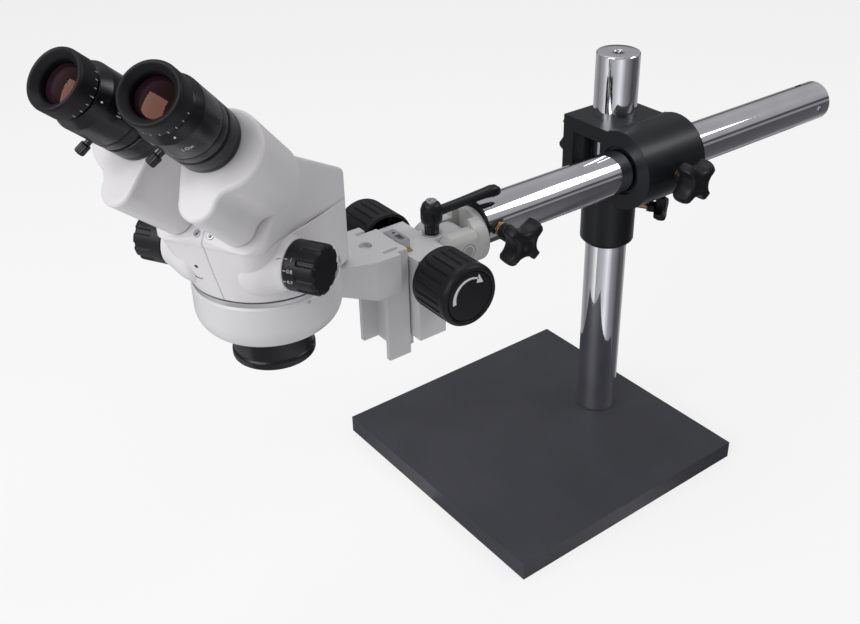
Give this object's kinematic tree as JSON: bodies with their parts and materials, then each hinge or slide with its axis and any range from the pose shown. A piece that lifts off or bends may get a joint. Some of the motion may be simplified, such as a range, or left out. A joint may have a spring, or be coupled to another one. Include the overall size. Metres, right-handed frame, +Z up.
{
  "type": "stereo_microscope",
  "caption": "Binocular stereo zoom microscope head on a chromed boom stand with a square weighted base",
  "frame": {"origin": "centre of the underside of the base, at bench level", "axes": "+Z up; +X along the boom to its tail, head towards -X; -Y is the side of the boom"},
  "size_m": [0.7187, 0.2691, 0.4877],
  "materials": {
    "base_coat": "charcoal textured powder coat",
    "rubber": "matte black",
    "chrome": "polished hard chrome on steel",
    "steel": "plain steel",
    "black_coat": "black satin enamel on cast aluminium",
    "knob_plastic": "moulded black plastic",
    "arm_coat": "light grey satin enamel on cast aluminium",
    "head_coat": "white satin covers with a fine grain",
    "bare_aluminium": "machined",
    "black_anodised": "satin black anodised",
    "coated_glass": "clear with a warm pink coating",
    "brass": "plain"
  },
  "bodies": {
    "stand": {"base_plate": "base_coat", "base_feet": "rubber", "post": "chrome", "post_bolt": "steel", "post_washer": "steel"},
    "collar": {"safety_collar": "black_coat"},
    "collar_knob": {"collar_knob": "knob_plastic"},
    "clamp": {"clamp_block": "black_coat", "boom_key_screw": "steel"},
    "post_lock": {"post_lock_knob": "knob_plastic"},
    "boom_lock": {"boom_lock_knob": "knob_plastic"},
    "boom": {"boom": "chrome", "boom_stop_screw": "steel", "spacer_ring": "rubber"},
    "head_lock": {"head_lock_knob": "knob_plastic"},
    "knuckle": {"knuckle": "arm_coat", "tilt_pin": "steel"},
    "focus": {"focus_housing": "arm_coat", "gib_strip": "brass", "lever_screw": "steel", "lever_washer": "steel"},
    "lever": {"clamp_lever": "black_coat"},
    "focus_knobs": {"pinion_shaft": "steel", "focus_knob_near": "knob_plastic", "focus_knob_far": "knob_plastic", "tension_cap": "knob_plastic"},
    "focus_slide": {"slider": "arm_coat", "dovetail_bar": "steel", "focus_rack": "brass", "ring_arm": "arm_coat", "arm_screws": "steel"},
    "ring_lock": {"ring_lock_screw": "knob_plastic"},
    "head": {"optics_frame": "bare_aluminium", "objective_ring": "black_anodised", "objective_glass": "coated_glass", "lens_cells": "black_anodised", "guide_rods": "steel", "lower_cover_near": "head_coat", "lower_cover_far": "head_coat", "upper_cover_near": "head_coat", "upper_cover_far": "head_coat", "cover_screws": "steel"},
    "zoom": {"zoom_shaft": "steel", "zoom_knob_near": "knob_plastic", "zoom_knob_far": "knob_plastic"},
    "zoom_carriage": {"zoom_carriage": "bare_aluminium"},
    "ocular_near": {"prism_housing_near": "head_coat", "prism_near": "coated_glass", "eyetube_near": "black_anodised"},
    "eyepiece_near": {"eyepiece_near": "black_anodised", "eye_lens_near": "coated_glass"},
    "eyecup_near": {"eyecup_near": "rubber"},
    "lock_screw_near": {"lock_screw_near": "black_anodised"},
    "ocular_far": {"prism_housing_far": "head_coat", "prism_far": "coated_glass", "eyetube_far": "black_anodised"},
    "eyepiece_far": {"eyepiece_far": "black_anodised", "eye_lens_far": "coated_glass"},
    "eyecup_far": {"eyecup_far": "rubber"},
    "lock_screw_far": {"lock_screw_far": "black_anodised"}
  },
  "joints": [
    {"name": "collar_height", "type": "slide", "parent": "stand", "child": "collar", "axis": [0, 0, 1], "range_m": [-0.12, 0.05]},
    {"name": "collar_knob_turn", "type": "hinge", "parent": "collar", "child": "collar_knob", "pos_m": [0.0768, 0, 0.235], "axis": [0.5, -0.866, 0], "continuous": true},
    {"name": "clamp_swivel", "type": "hinge", "parent": "collar", "child": "clamp", "pos_m": [0.0768, 0, 0.285], "axis": [0, 0, 1], "continuous": true},
    {"name": "post_lock_turn", "type": "hinge", "parent": "clamp", "child": "post_lock", "pos_m": [0.0768, 0.0283, 0.285], "axis": [0, 1, 0], "continuous": true},
    {"name": "boom_lock_turn", "type": "hinge", "parent": "clamp", "child": "boom_lock", "pos_m": [0.0768, -0.042, 0.2873], "axis": [0, -0.9994, -0.0349], "continuous": true},
    {"name": "boom_reach", "type": "slide", "parent": "clamp", "child": "boom", "axis": [1, 0, 0], "range_m": [-0.12, 0.1]},
    {"name": "head_lock_turn", "type": "hinge", "parent": "boom", "child": "head_lock", "pos_m": [-0.098, -0.042, 0.2873], "axis": [0, -0.9962, -0.0872], "continuous": true},
    {"name": "head_roll", "type": "hinge", "parent": "boom", "child": "knuckle", "pos_m": [-0.11, -0.042, 0.2873], "axis": [1, 0, 0], "range_deg": [-45, 45]},
    {"name": "head_tilt", "type": "hinge", "parent": "knuckle", "child": "focus", "pos_m": [-0.132, -0.042, 0.279], "axis": [0, 1, 0], "range_deg": [-30, 3]},
    {"name": "lever_swing", "type": "hinge", "parent": "focus", "child": "lever", "pos_m": [-0.1495, -0.042, 0.3], "axis": [0, 0, 1], "range_deg": [-70, 70]},
    {"name": "focus_travel", "type": "slide", "parent": "focus", "child": "focus_slide", "axis": [0, 0, 1], "range_m": [-0.025, 0.025]},
    {"name": "focus_knob_turn", "type": "hinge", "parent": "focus", "child": "focus_knobs", "pos_m": [-0.1679, -0.042, 0.2766], "axis": [0, 1, 0], "range_deg": [-262, 262]},
    {"name": "ring_lock_turn", "type": "hinge", "parent": "focus_slide", "child": "ring_lock", "pos_m": [-0.284, -0.042, 0.2964], "axis": [0.4226, 0.9063, 0], "continuous": true},
    {"name": "head_swivel", "type": "hinge", "parent": "focus_slide", "child": "head", "pos_m": [-0.284, -0.042, 0.3], "axis": [0, 0, 1], "continuous": true},
    {"name": "zoom_turn", "type": "hinge", "parent": "head", "child": "zoom", "pos_m": [-0.31185, -0.05776, 0.338], "axis": [0.4924, -0.8704, 0], "range_deg": [-35, 205]},
    {"name": "zoom_carriage_travel", "type": "slide", "parent": "head", "child": "zoom_carriage", "axis": [0, 0, 1], "range_m": [-0.0045, 0.0259]},
    {"name": "ipd_near", "type": "hinge", "parent": "head", "child": "ocular_near", "pos_m": [-0.32387, -0.08881, 0.37208], "axis": [0.6047, 0.4562, -0.6528], "range_deg": [-2, 12]},
    {"name": "eyepiece_turn_near", "type": "hinge", "parent": "ocular_near", "child": "eyepiece_near", "pos_m": [-0.36069, -0.11489, 0.45761], "axis": [-0.6047, -0.4562, 0.6528], "continuous": true},
    {"name": "dioptre_near", "type": "hinge", "parent": "eyepiece_near", "child": "eyecup_near", "pos_m": [-0.37278, -0.12401, 0.47067], "axis": [-0.6047, -0.4562, 0.6528], "range_deg": [-150, 150]},
    {"name": "lock_screw_turn_near", "type": "hinge", "parent": "ocular_near", "child": "lock_screw_near", "pos_m": [-0.3492, -0.10622, 0.44521], "axis": [-0.7826, 0.1882, -0.5934], "continuous": true},
    {"name": "ipd_far", "type": "hinge", "parent": "head", "child": "ocular_far", "pos_m": [-0.34466, -0.05206, 0.37208], "axis": [-0.7025, -0.2834, 0.6528], "range_deg": [-2, 12]},
    {"name": "eyepiece_turn_far", "type": "hinge", "parent": "ocular_far", "child": "eyepiece_far", "pos_m": [-0.38597, -0.0702, 0.45761], "axis": [-0.7025, -0.2834, 0.6528], "continuous": true},
    {"name": "dioptre_far", "type": "hinge", "parent": "eyepiece_far", "child": "eyecup_far", "pos_m": [-0.40003, -0.07587, 0.47067], "axis": [-0.7025, -0.2834, 0.6528], "range_deg": [-150, 150]},
    {"name": "lock_screw_turn_far", "type": "hinge", "parent": "ocular_far", "child": "lock_screw_far", "pos_m": [-0.37263, -0.06481, 0.44521], "axis": [-0.7106, 0.229, -0.6653], "continuous": true}
  ],
  "couplings": [
    {"joint": "focus_knob_turn", "follows": "focus_travel", "rad_per_m": 181.82},
    {"joint": "zoom_carriage_travel", "follows": "zoom_turn", "m_per_rad": 0.0072},
    {"joint": "ipd_far", "follows": "ipd_near", "ratio": 1}
  ]
}
